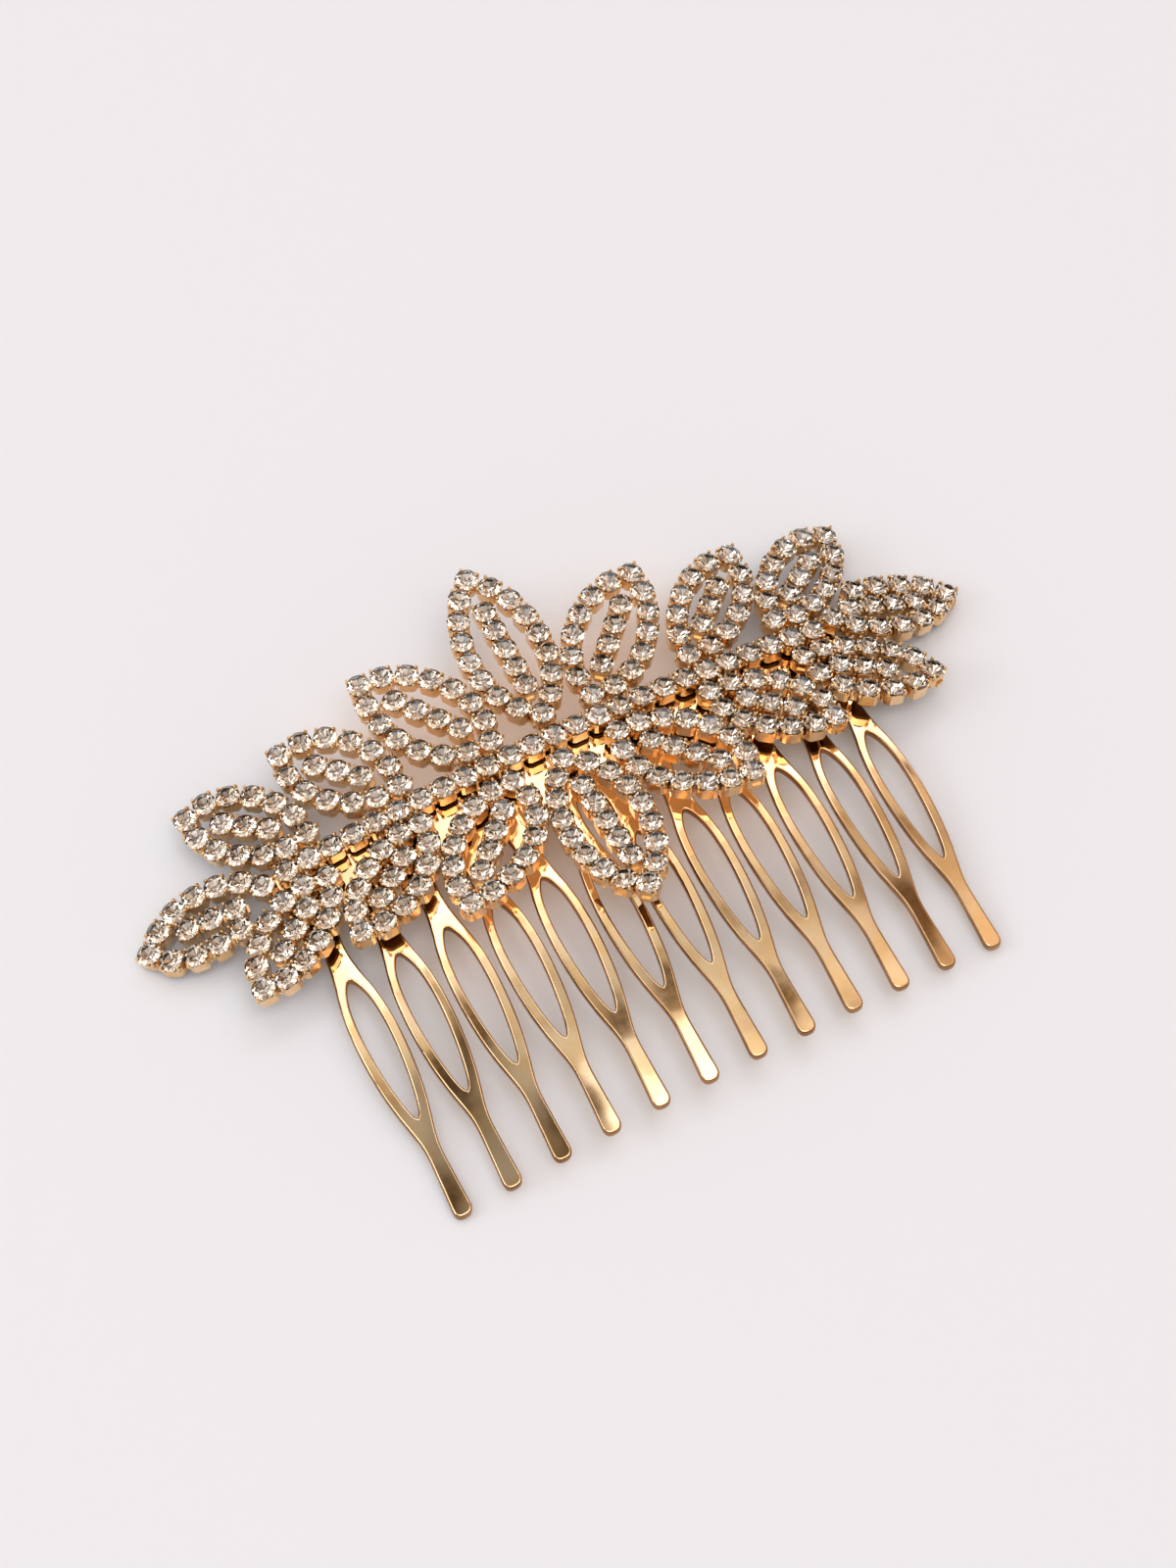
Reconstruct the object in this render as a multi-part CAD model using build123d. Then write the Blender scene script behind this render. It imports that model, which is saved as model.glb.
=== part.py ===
from build123d import *
from collections import namedtuple
import math
import os

# A hair comb with a spray of sixteen leaves made of round stones in cup chain.
# Millimetres. +X runs along the comb's bar, the teeth point to -Y, +Z is up.
# Z = 0 is the flat surface that the comb lies on, at its tooth tips and its two end leaves.

# The curve of a head: everything follows one arch about an axis along Y
ARCH_RADIUS = 215.0
RIM_HEIGHT = 8.15
CROSS_TILT = -0.05
CROSS_CURVE = 0.002

# Cup chain: square cups with cut corners, each holding one round stone
CUP_LENGTH = 2.92
CUP_WIDTH = 2.54
CUP_CORNER = 0.68
CUP_DEPTH = 2.05
LINK_WIDTH = 1.10
LINK_TOP = 0.55
LINK_DEPTH = 1.00

# Stones: a girdle just over the cup's rim, eight corners, a turned table
STONE_RADIUS = 1.25
TABLE_RADIUS = 0.74
CROWN_HEIGHT = 0.52
STONE_LIFT = 0.12
STONE_CORNERS = 8

# The comb: one stamped plate with twelve split teeth
PLATE_THICKNESS = 1.10
BAR_TOP_HEIGHT = 5.90
BAR_BACK = 1.20
BAR_FRONT = -6.40
BAR_HALF_LENGTH = 36.3
BAR_CORNER = 1.60
TOOTH_COUNT = 12
TOOTH_PITCH = 6.05
TOOTH_ROW_CENTRE = -0.80
TOOTH_TIP_LEFT = -44.80
TOOTH_TIP_RIGHT = -43.70
TOOTH_LEAN = 1.2
TIP_HEIGHT = 3.32
BEND_START = -5.00

# The row of stones along the bar
SPINE_START = (-34.1, -0.5)
SPINE_END = (33.6, -0.1)
SPINE_BOW = 0.15
SPINE_STONES = 25

# One row for each leaf. A leaf is drawn from its tip to its foot: side a bows to the left of that
# line and side b to the right. A side with more places than stones ends beside a neighbour.
Leaf = namedtuple(
    "Leaf",
    "name tip_x tip_y foot_x foot_y a_tip_bow a_foot_bow b_tip_bow b_foot_bow "
    "a_stones a_places b_stones b_places foot_stone vein_first vein_last vein_side vein_stones",
)
LEAVES = [
    Leaf("left_end_leaf", -51.5, -1.2, -35.9, -3.2, 5.5, 6.5, 5.4, 0.9, 6, 7, 4, 6, 0, 4.8, 10.4, 0.9, 3),
    Leaf("upper_leaf_1", -41.25, 11.5, -30.2, 2.6, 5.5, 4.4, 4.7, 5.0, 5, 6, 5, 6, 1, 4.3, 9.8, 0.0, 3),
    Leaf("upper_leaf_2", -28.7, 13.05, -18.5, 2.55, 5.7, 4.5, 5.2, 5.2, 5, 6, 5, 6, 1, 4.4, 10.0, -0.1, 3),
    Leaf("upper_leaf_3", -16.9, 16.5, -7.0, 2.6, 5.7, 5.8, 4.3, 7.6, 6, 7, 6, 7, 1, 4.6, 13.2, 0.0, 4),
    Leaf("upper_leaf_4", 0.3, 23.2, -0.1, 3.1, 5.7, 5.9, 5.1, 6.7, 7, 8, 7, 8, 1, 4.8, 15.8, 0.0, 5),
    Leaf("upper_leaf_5", 18.1, 15.8, 6.1, 2.7, 4.8, 6.0, 5.5, 6.05, 6, 7, 6, 7, 1, 4.7, 13.4, 0.0, 4),
    Leaf("upper_leaf_6", 30.0, 13.5, 18.7, 2.75, 4.9, 4.5, 4.7, 4.2, 5, 6, 5, 6, 1, 5.0, 10.9, 0.1, 3),
    Leaf("upper_leaf_7", 42.2, 11.8, 30.2, 3.0, 4.5, 4.2, 5.5, 4.0, 5, 6, 5, 6, 1, 4.6, 10.3, 0.0, 3),
    Leaf("right_end_leaf", 51.55, -1.0, 35.6, 3.1, 5.9, 5.5, 3.0, 2.0, 6, 7, 4, 6, 0, 4.2, 12.2, 0.9, 4),
    Leaf("lower_leaf_1", -42.4, -12.4, -30.5, -3.6, 4.8, 4.5, 4.0, 3.8, 5, 6, 5, 6, 1, 4.8, 10.5, 0.2, 3),
    Leaf("lower_leaf_2", -30.2, -11.95, -18.6, -3.1, 4.35, 3.5, 4.4, 4.85, 5, 6, 5, 6, 1, 4.5, 10.1, -0.2, 3),
    Leaf("lower_leaf_3", -18.3, -15.25, -7.2, -3.4, 5.7, 5.1, 4.2, 7.4, 6, 7, 6, 7, 1, 4.2, 12.3, 0.0, 4),
    Leaf("lower_leaf_4", -0.4, -22.9, -0.9, -3.5, 6.0, 5.3, 5.6, 7.0, 7, 8, 7, 8, 1, 4.3, 15.2, -0.2, 5),
    Leaf("lower_leaf_5", 17.2, -14.9, 6.3, -3.05, 4.5, 7.0, 6.8, 5.0, 6, 7, 6, 7, 1, 3.9, 12.1, -0.2, 4),
    Leaf("lower_leaf_6", 29.6, -12.2, 18.35, -2.95, 3.6, 5.0, 5.7, 3.7, 5, 6, 5, 6, 1, 4.7, 10.3, -0.1, 3),
    Leaf("lower_leaf_7", 43.7, -10.7, 30.7, -3.0, 5.0, 5.7, 3.6, 2.9, 5, 6, 5, 6, 1, 5.3, 10.8, 0.7, 3),
]

# Half widths of a tooth at distances up from its tip: the outline, and the eye between its legs
Station = namedtuple("Station", "up outline eye")
TOOTH = [
    Station(1.2, 1.08, 0.0),
    Station(4.5, 0.95, 0.0),
    Station(8.5, 0.92, 0.0),
    Station(12.0, 1.60, 0.0),
    Station(13.2, 1.86, 0.55),
    Station(16.5, 2.35, 1.12),
    Station(21.0, 2.62, 1.50),
    Station(25.0, 2.50, 1.45),
    Station(28.0, 2.12, 0.98),
    Station(29.8, 1.72, 0.0),
    Station(33.0, 1.26, 0.0),
    Station(35.6, 1.42, 0.0),
    Station(37.2, 2.10, 0.0),
    Station(38.0, 3.00, 0.0),
]
TOOTH_TOP = 40.5


def arch_drop(x):
    """How far the arch has fallen at x."""
    return ARCH_RADIUS - math.sqrt(ARCH_RADIUS**2 - x**2)


def rim_point(x, y):
    """The centre of a cup's rim at x, y."""
    return Vector(x, y, RIM_HEIGHT - arch_drop(x) + CROSS_TILT * y + CROSS_CURVE * y**2)


def rim_normal(x, y):
    """The upward normal of the surface that the rims lie on."""
    along = -x / math.sqrt(ARCH_RADIUS**2 - x**2)
    across = CROSS_TILT + 2 * CROSS_CURVE * y
    return Vector(-along, -across, 1).normalized()


def even_places(start, end, start_bow, end_bow, places):
    """Places at equal steps along a bowed row; bows are measured to the left of start to end."""
    run = Vector(end[0] - start[0], end[1] - start[1])
    side = Vector(-run.Y, run.X).normalized()
    first = Vector(*start)
    last = Vector(*end)
    near_start = first + run * 0.2 + side * start_bow
    near_end = first + run * 0.8 + side * end_bow
    fine = []
    steps = 80
    for step in range(steps + 1):
        t = step / steps
        flat = (
            first * (1 - t) ** 3
            + near_start * (3 * t * (1 - t) ** 2)
            + near_end * (3 * t**2 * (1 - t))
            + last * t**3
        )
        fine.append(rim_point(flat.X, flat.Y))
    lengths = [0.0]
    for before, after in zip(fine, fine[1:]):
        lengths.append(lengths[-1] + (after - before).length)
    found = []
    index = 0
    for place in range(places + 1):
        wanted = lengths[-1] * place / places
        while index < steps - 1 and lengths[index + 1] < wanted:
            index += 1
        share = (wanted - lengths[index]) / (lengths[index + 1] - lengths[index])
        found.append(fine[index] + (fine[index + 1] - fine[index]) * share)
    return found


def frames_along(points, closed=False):
    """A plane at each point: x along the row, z up from the surface."""
    frames = []
    count = len(points)
    for index, point in enumerate(points):
        before = points[index - 1] if index or closed else point
        after = points[(index + 1) % count] if index < count - 1 or closed else point
        normal = rim_normal(point.X, point.Y)
        along = after - before
        along = (along - normal * along.dot(normal)).normalized()
        frames.append(Plane(origin=point, x_dir=along, z_dir=normal))
    return frames


def leaf_frames(leaf):
    """The frames of a leaf's edge stones and of its vein stones, and which edge stones are linked."""
    tip = (leaf.tip_x, leaf.tip_y)
    foot = (leaf.foot_x, leaf.foot_y)
    side_a = even_places(tip, foot, leaf.a_tip_bow, leaf.a_foot_bow, leaf.a_places)
    side_b = even_places(tip, foot, -leaf.b_tip_bow, -leaf.b_foot_bow, leaf.b_places)
    side_a = side_a[1 : leaf.a_stones + 1]
    side_b = side_b[1 : leaf.b_stones + 1]
    edge = list(reversed(side_a)) + [rim_point(*tip)] + side_b
    if leaf.foot_stone:
        edge.append(rim_point(*foot))
    run = Vector(foot[0] - tip[0], foot[1] - tip[1]).normalized()
    side = Vector(-run.Y, run.X)
    step = (leaf.vein_last - leaf.vein_first) / (leaf.vein_stones - 1)
    vein = []
    for index in range(leaf.vein_stones):
        flat = Vector(*tip) + run * (leaf.vein_first + step * index) + side * leaf.vein_side
        vein.append(rim_point(flat.X, flat.Y))
    return frames_along(edge, bool(leaf.foot_stone)), frames_along(vein)


def octagon(length, width, corner):
    """The outline of a cup: a rectangle with its corners cut."""
    x = length / 2
    y = width / 2
    return Polygon(
        (x, -y + corner),
        (x, y - corner),
        (x - corner, y),
        (-x + corner, y),
        (-x, y - corner),
        (-x, -y + corner),
        (-x + corner, -y),
        (x - corner, -y),
        align=None,
    )


CUP = extrude(octagon(CUP_LENGTH, CUP_WIDTH, CUP_CORNER), amount=-CUP_DEPTH)


def link_between(one, other):
    """The small bar under the rims that joins two cups."""
    middle = (one.origin + other.origin) * 0.5
    along = other.origin - one.origin
    normal = (one.z_dir + other.z_dir).normalized()
    plane = Plane(origin=middle, x_dir=along.normalized(), z_dir=normal)
    bar = Box(along.length, LINK_WIDTH, LINK_DEPTH, align=(Align.CENTER, Align.CENTER, Align.MAX))
    return plane * Pos(0, 0, -LINK_TOP) * bar


def nearest(frame, others):
    return min(others, key=lambda other: (other.origin - frame.origin).length)


def joined(pieces):
    """One solid from pieces that overlap."""
    whole = pieces[0].fuse(*pieces[1:])
    found = whole.solids()
    assert len(found) == 1, "a setting fell apart"
    return found[0]


def chain(frames, closed=False):
    """Cups at the frames with links between neighbours."""
    pieces = [frame.location * CUP for frame in frames]
    for one, other in zip(frames, frames[1:]):
        pieces.append(link_between(one, other))
    if closed:
        pieces.append(link_between(frames[-1], frames[0]))
    return pieces


def stone():
    """A round stone's crown: a flat table, sixteen crown facets and a flat underside at the girdle."""
    low = []
    high = []
    for corner in range(STONE_CORNERS):
        turn = 2 * math.pi * corner / STONE_CORNERS
        half = math.pi / STONE_CORNERS
        low.append(Vector(STONE_RADIUS * math.cos(turn), STONE_RADIUS * math.sin(turn), STONE_LIFT))
        high.append(
            Vector(
                TABLE_RADIUS * math.cos(turn + half),
                TABLE_RADIUS * math.sin(turn + half),
                STONE_LIFT + CROWN_HEIGHT,
            )
        )
    faces = [Face(Wire.make_polygon(list(reversed(low)))), Face(Wire.make_polygon(high))]
    for corner in range(STONE_CORNERS):
        after = (corner + 1) % STONE_CORNERS
        faces.append(Face(Wire.make_polygon([low[corner], low[after], high[corner]])))
        faces.append(Face(Wire.make_polygon([high[corner], low[after], high[after]])))
    return Solid(Shell(faces))


def tooth_face(tip_x, tip_y):
    """The flat outline of one tooth with its eye, turned by the lean about its tip."""
    right = [(station.outline, station.up) for station in TOOTH]
    left = [(-station.outline, station.up) for station in reversed(TOOTH)]
    edge = [
        Spline(*right),
        Polyline(right[-1], (right[-1][0], TOOTH_TOP), (left[0][0], TOOTH_TOP), left[0]),
        Spline(*left),
        ThreePointArc(left[-1], (0, 0), right[0]),
    ]
    outline = make_face(edge)
    open_stations = [station for station in TOOTH if station.eye]
    first = TOOTH[TOOTH.index(open_stations[0]) - 1]
    last = TOOTH[TOOTH.index(open_stations[-1]) + 1]
    eye_points = [(0, first.up)]
    eye_points += [(station.eye, station.up) for station in open_stations]
    eye_points += [(0, last.up)]
    eye_points += [(-station.eye, station.up) for station in reversed(open_stations)]
    eye = make_face(Spline(*eye_points, periodic=True))
    return Pos(tip_x, tip_y) * Rot(0, 0, -TOOTH_LEAN) * (outline - eye)


def comb():
    """The stamped plate: a flat drawing cut from a plate that is bent along the arch."""
    bar_middle = (BAR_BACK + BAR_FRONT) / 2
    drawing = Pos(0, bar_middle) * RectangleRounded(
        2 * BAR_HALF_LENGTH, BAR_BACK - BAR_FRONT, BAR_CORNER
    )
    for tooth in range(TOOTH_COUNT):
        share = tooth / (TOOTH_COUNT - 1)
        tip_x = TOOTH_ROW_CENTRE + (tooth - (TOOTH_COUNT - 1) / 2) * TOOTH_PITCH
        tip_y = TOOTH_TIP_LEFT + (TOOTH_TIP_RIGHT - TOOTH_TIP_LEFT) * share
        drawing += tooth_face(tip_x, tip_y)
    # The plate's section in the YZ plane, top line first: level over the bar, then curving down
    far = TOOTH_TIP_LEFT - 2
    drop = BAR_TOP_HEIGHT - TIP_HEIGHT
    reach = BEND_START - far
    radius = (reach**2 + drop**2) / (2 * drop)
    half_angle = math.asin(reach / radius) / 2
    mid_y = BEND_START - radius * math.sin(half_angle)
    mid_z = BAR_TOP_HEIGHT - radius * (1 - math.cos(half_angle))
    thin = PLATE_THICKNESS
    section = make_face(
        [
            Line((BAR_BACK + 1, BAR_TOP_HEIGHT), (BEND_START, BAR_TOP_HEIGHT)),
            ThreePointArc((BEND_START, BAR_TOP_HEIGHT), (mid_y, mid_z), (far, TIP_HEIGHT)),
            Line((far, TIP_HEIGHT), (far, TIP_HEIGHT - thin)),
            ThreePointArc(
                (far, TIP_HEIGHT - thin), (mid_y, mid_z - thin), (BEND_START, BAR_TOP_HEIGHT - thin)
            ),
            Line((BEND_START, BAR_TOP_HEIGHT - thin), (BAR_BACK + 1, BAR_TOP_HEIGHT - thin)),
            Line((BAR_BACK + 1, BAR_TOP_HEIGHT - thin), (BAR_BACK + 1, BAR_TOP_HEIGHT)),
        ]
    )
    arch_axis = Axis((0, 0, BAR_TOP_HEIGHT - ARCH_RADIUS), (0, 1, 0))
    sweep = 2 * math.degrees(math.asin((BAR_HALF_LENGTH + 4) / ARCH_RADIUS))
    upright = Plane.YZ * section
    plate = revolve(upright.rotate(arch_axis, -sweep / 2), axis=arch_axis, revolution_arc=sweep)
    cut = plate & extrude(drawing, amount=2 * BAR_TOP_HEIGHT, both=True)
    found = cut.solids()
    assert len(found) == 1, "the comb fell apart"
    return found[0]


def main():
    nodes = {"comb": comb()}
    gem = stone()
    spine_points = even_places(SPINE_START, SPINE_END, SPINE_BOW, SPINE_BOW, SPINE_STONES - 1)
    spine = frames_along(spine_points)
    nodes["spine_setting"] = joined(chain(spine))
    gems = [frame.location * gem for frame in spine]
    for leaf in LEAVES:
        edge, vein = leaf_frames(leaf)
        pieces = chain(edge, bool(leaf.foot_stone)) + chain(vein)
        pieces.append(link_between(vein[0], edge[leaf.a_stones]))
        pieces.append(link_between(vein[-1], nearest(vein[-1], edge)))
        nodes[leaf.name] = joined(pieces)
        gems += [frame.location * gem for frame in edge]
    nodes["left_stones"] = Compound([gem for gem in gems if gem.center().X < 0])
    nodes["right_stones"] = Compound([gem for gem in gems if gem.center().X >= 0])

    # The origin goes to the middle of the whole comb's plan, on the surface that it lies on
    boxes = [node.bounding_box() for node in nodes.values()]
    low = Vector(*(min(tuple(box.min)[axis] for box in boxes) for axis in range(3)))
    high = Vector(*(max(tuple(box.max)[axis] for box in boxes) for axis in range(3)))
    shift = Vector(-(low.X + high.X) / 2, -(low.Y + high.Y) / 2, -low.Z)
    os.makedirs("parts", exist_ok=True)
    for name, node in nodes.items():
        export_step(Pos(shift) * node, "parts/" + name + ".step")
    print("stones", len(gems), "loose solids", len(gems) + len(LEAVES) + 2)
    print("origin moved by", shift, "to the middle of", high - low)
    for name, node in nodes.items():
        print(name, "lowest", round(node.bounding_box().min.Z - low.Z, 3))


main()
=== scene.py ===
import math
from collections import namedtuple

import bmesh
import bpy
from mathutils import Matrix, Vector


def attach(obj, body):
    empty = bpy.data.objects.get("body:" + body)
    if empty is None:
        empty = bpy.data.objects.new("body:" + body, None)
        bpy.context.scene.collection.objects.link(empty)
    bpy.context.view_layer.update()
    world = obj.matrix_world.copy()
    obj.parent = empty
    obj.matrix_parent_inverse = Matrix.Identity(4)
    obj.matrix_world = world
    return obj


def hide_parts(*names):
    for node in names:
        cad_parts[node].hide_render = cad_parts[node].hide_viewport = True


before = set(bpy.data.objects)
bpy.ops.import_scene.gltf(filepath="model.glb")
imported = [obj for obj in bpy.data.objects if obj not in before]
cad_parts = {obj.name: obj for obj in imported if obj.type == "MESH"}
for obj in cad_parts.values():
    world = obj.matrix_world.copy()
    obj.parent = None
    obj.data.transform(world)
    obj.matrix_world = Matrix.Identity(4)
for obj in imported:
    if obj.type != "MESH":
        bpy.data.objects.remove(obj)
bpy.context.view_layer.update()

# The view and the light. The comb lies on a pale table and is seen from above and a little from
# its left. Two soft window strips stand behind it, one at its left, and a wide lamp hangs in
# front. The pale room has darker patches, which the polished metal and the stones reflect.
MM = 0.001
DRAWING_ORIGIN = Vector((-0.0129, 10.1202, 0.4053)) * MM
CAMERA_PLACE = Vector((-81.62, -163.32, 312.57)) * MM
CAMERA_ELEVATION = 60.0
CAMERA_AZIMUTH = -27.7
LENS = 72.0
SENSOR = 36.0
TABLE_COLOUR = (0.845, 0.872, 0.915, 1.0)

camera = bpy.data.objects.new("camera", bpy.data.cameras.new("camera"))
bpy.context.collection.objects.link(camera)
camera.location = CAMERA_PLACE + DRAWING_ORIGIN
camera.rotation_euler = (math.radians(90 - CAMERA_ELEVATION), 0, math.radians(CAMERA_AZIMUTH))
camera.data.sensor_fit = "VERTICAL"
camera.data.sensor_height = SENSOR
camera.data.lens = LENS
camera.data.clip_start = 0.01
bpy.context.scene.camera = camera
bpy.context.scene.view_settings.view_transform = "Standard"


def soft_light(name, place, target, size, watts, colour):
    """A wide lamp facing its target, its long side level along X."""
    lamp = bpy.data.lights.new(name, "AREA")
    lamp.shape = "RECTANGLE"
    lamp.size = size[0]
    lamp.size_y = size[1]
    lamp.energy = watts
    lamp.color = colour
    holder = bpy.data.objects.new(name, lamp)
    bpy.context.collection.objects.link(holder)
    holder.location = place
    back = (Vector(place) - Vector(target)).normalized()
    across = Vector((0, 1, 0)).cross(back).normalized()
    up = back.cross(across)
    holder.rotation_euler = Matrix((across, up, back)).transposed().to_euler()
    return holder


soft_light("low_window", (0.40, 0.82, 1.66), (0, 0, 0), (2.4, 0.30), 3.0, (0.90, 0.97, 1.12))
soft_light("high_window", (0.26, 0.26, 1.86), (0, 0, 0), (0.36, 0.20), 0.24, (0.92, 0.98, 1.10))
soft_light("overhead", (-0.3, -0.75, 2.3), (0, 0, 0), (2.2, 1.2), 14.5, (0.93, 0.98, 1.03))
soft_light("side_window", (-1.3, 0.3, 0.9), (0, 0, 0), (0.5, 0.9), 4.0, (0.96, 0.97, 1.0))
# Warm light that the gold throws down on the table under the two rows of leaves
BOUNCE_SIZE = (0.050, 0.014)
BOUNCE_WATTS = 0.0009
BOUNCE_COLOUR = (1.0, 0.52, 0.24)
for row, row_y, row_z in (("lower", -0.0025, 0.00645), ("upper", 0.0205, 0.0053)):
    place = (0, row_y, row_z)
    below = (0, row_y, 0)
    bounce = soft_light(row + "_gold_bounce", place, below, BOUNCE_SIZE, BOUNCE_WATTS, BOUNCE_COLOUR)
    bounce.visible_camera = False

# The room: soft light and dark patches, a window frame along Y and darker walls half way up
room = bpy.data.worlds.new("pale_room")
bpy.context.scene.world = room
room.use_nodes = True
room_nodes = room.node_tree.nodes
room_links = room.node_tree.links
room_nodes.clear()
room_place = room_nodes.new("ShaderNodeTexCoord")
room_patches = room_nodes.new("ShaderNodeTexNoise")
room_patches.inputs["Scale"].default_value = 10.5
room_patches.inputs["Detail"].default_value = 1.5
room_ramp = room_nodes.new("ShaderNodeValToRGB")
room_ramp.color_ramp.elements[0].position = 0.38
room_ramp.color_ramp.elements[0].color = (0.18, 0.12, 0.08, 1)
room_ramp.color_ramp.elements[1].position = 0.54
room_ramp.color_ramp.elements[1].color = (1.0, 0.965, 0.945, 1)
room_middle = room_ramp.color_ramp.elements.new(0.46)
room_middle.color = (0.66, 0.57, 0.50, 1)
room_sides = room_nodes.new("ShaderNodeSeparateXYZ")
window_frame = room_nodes.new("ShaderNodeValToRGB")
window_frame.color_ramp.elements[0].position = 0.12
window_frame.color_ramp.elements[0].color = (1.0, 1.0, 1.0, 1)
window_frame.color_ramp.elements[1].position = 0.34
window_frame.color_ramp.elements[1].color = (0.95, 0.95, 0.95, 1)
for height, shade in ((0.19, 0.74), (0.25, 0.50), (0.29, 0.66)):
    frame_part = window_frame.color_ramp.elements.new(height)
    frame_part.color = (shade, shade, shade, 1)
dark_walls = room_nodes.new("ShaderNodeValToRGB")
dark_walls.color_ramp.elements[0].position = 0.25
dark_walls.color_ramp.elements[0].color = (0.9, 0.9, 0.9, 1)
dark_walls.color_ramp.elements[1].position = 0.70
dark_walls.color_ramp.elements[1].color = (1.0, 1.0, 1.0, 1)
for height, shade in ((0.40, 0.45), (0.58, 0.45)):
    wall_part = dark_walls.color_ramp.elements.new(height)
    wall_part.color = (shade, shade, shade, 1)
room_shade = room_nodes.new("ShaderNodeMath")
room_shade.operation = "MULTIPLY"
# A dark curtain that the prongs at the left end reflect
curtain_side = room_nodes.new("ShaderNodeVectorMath")
curtain_side.operation = "DOT_PRODUCT"
curtain_side.inputs[1].default_value = Vector((-0.10, 0.12, 0.98)).normalized()
curtain = room_nodes.new("ShaderNodeMapRange")
curtain.inputs["From Min"].default_value = 0.986
curtain.inputs["From Max"].default_value = 0.997
curtain.inputs["To Min"].default_value = 1.0
curtain.inputs["To Max"].default_value = 0.30
curtain_shade = room_nodes.new("ShaderNodeMath")
curtain_shade.operation = "MULTIPLY"
# Near the horizon the room is one plain pale tone
above_horizon = room_nodes.new("ShaderNodeMapRange")
above_horizon.inputs["From Min"].default_value = 0.05
above_horizon.inputs["From Max"].default_value = 0.35
plain_colour = room_nodes.new("ShaderNodeMix")
plain_colour.data_type = "RGBA"
plain_colour.inputs["A"].default_value = (0.86, 0.84, 0.83, 1)
plain_shade = room_nodes.new("ShaderNodeMix")
plain_shade.inputs["A"].default_value = 0.85
room_strength = room_nodes.new("ShaderNodeMath")
room_strength.operation = "MULTIPLY"
room_strength.inputs[1].default_value = 1.25
warm_side = room_nodes.new("ShaderNodeVectorMath")
warm_side.operation = "DOT_PRODUCT"
warm_side.inputs[1].default_value = (0.94, -0.25, 0.2)
warm_share = room_nodes.new("ShaderNodeMapRange")
warm_share.inputs["From Min"].default_value = 0.42
warm_share.inputs["From Max"].default_value = 0.85
warm_mix = room_nodes.new("ShaderNodeMix")
warm_mix.data_type = "RGBA"
warm_mix.blend_type = "MULTIPLY"
warm_mix.inputs["B"].default_value = (0.98, 0.66, 0.44, 1)
room_glow = room_nodes.new("ShaderNodeBackground")
room_out = room_nodes.new("ShaderNodeOutputWorld")
room_links.new(room_place.outputs["Generated"], room_patches.inputs["Vector"])
room_links.new(room_place.outputs["Generated"], room_sides.inputs["Vector"])
room_links.new(room_place.outputs["Generated"], warm_side.inputs[0])
room_links.new(room_patches.outputs["Fac"], room_ramp.inputs["Fac"])
room_links.new(warm_side.outputs["Value"], warm_share.inputs["Value"])
room_links.new(warm_share.outputs["Result"], warm_mix.inputs["Factor"])
room_links.new(room_sides.outputs["Z"], above_horizon.inputs["Value"])
room_links.new(above_horizon.outputs["Result"], plain_colour.inputs["Factor"])
room_links.new(above_horizon.outputs["Result"], plain_shade.inputs["Factor"])
room_links.new(room_ramp.outputs["Color"], plain_colour.inputs["B"])
room_links.new(plain_colour.outputs["Result"], warm_mix.inputs["A"])
room_links.new(warm_mix.outputs["Result"], room_glow.inputs["Color"])
room_links.new(room_sides.outputs["Y"], window_frame.inputs["Fac"])
room_links.new(room_sides.outputs["Z"], dark_walls.inputs["Fac"])
room_links.new(window_frame.outputs["Color"], room_shade.inputs[0])
room_links.new(dark_walls.outputs["Color"], room_shade.inputs[1])
room_links.new(room_shade.outputs["Value"], plain_shade.inputs["B"])
room_links.new(room_place.outputs["Generated"], curtain_side.inputs[0])
room_links.new(curtain_side.outputs["Value"], curtain.inputs["Value"])
room_links.new(curtain.outputs["Result"], curtain_shade.inputs[0])
room_links.new(plain_shade.outputs["Result"], curtain_shade.inputs[1])
room_links.new(curtain_shade.outputs["Value"], room_strength.inputs[0])
room_links.new(room_strength.outputs["Value"], room_glow.inputs["Strength"])
room_links.new(room_glow.outputs["Background"], room_out.inputs["Surface"])

TABLE_HALF = 2.5
table_mesh = bpy.data.meshes.new("table_top")
table_mesh.from_pydata(
    [(-TABLE_HALF, -TABLE_HALF, 0), (TABLE_HALF, -TABLE_HALF, 0),
     (TABLE_HALF, TABLE_HALF, 0), (-TABLE_HALF, TABLE_HALF, 0)],
    [], [(0, 1, 2, 3)],
)
table_top = bpy.data.objects.new("table_top", table_mesh)
bpy.context.collection.objects.link(table_top)
table_paper = bpy.data.materials.new("matt_table_top")
table_paper.use_nodes = True
table_shader = table_paper.node_tree.nodes["Principled BSDF"]
table_shader.inputs["Base Color"].default_value = TABLE_COLOUR
table_shader.inputs["Roughness"].default_value = 0.9
table_shader.inputs["Specular IOR Level"].default_value = 0.1
table_mesh.materials.append(table_paper)

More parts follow.
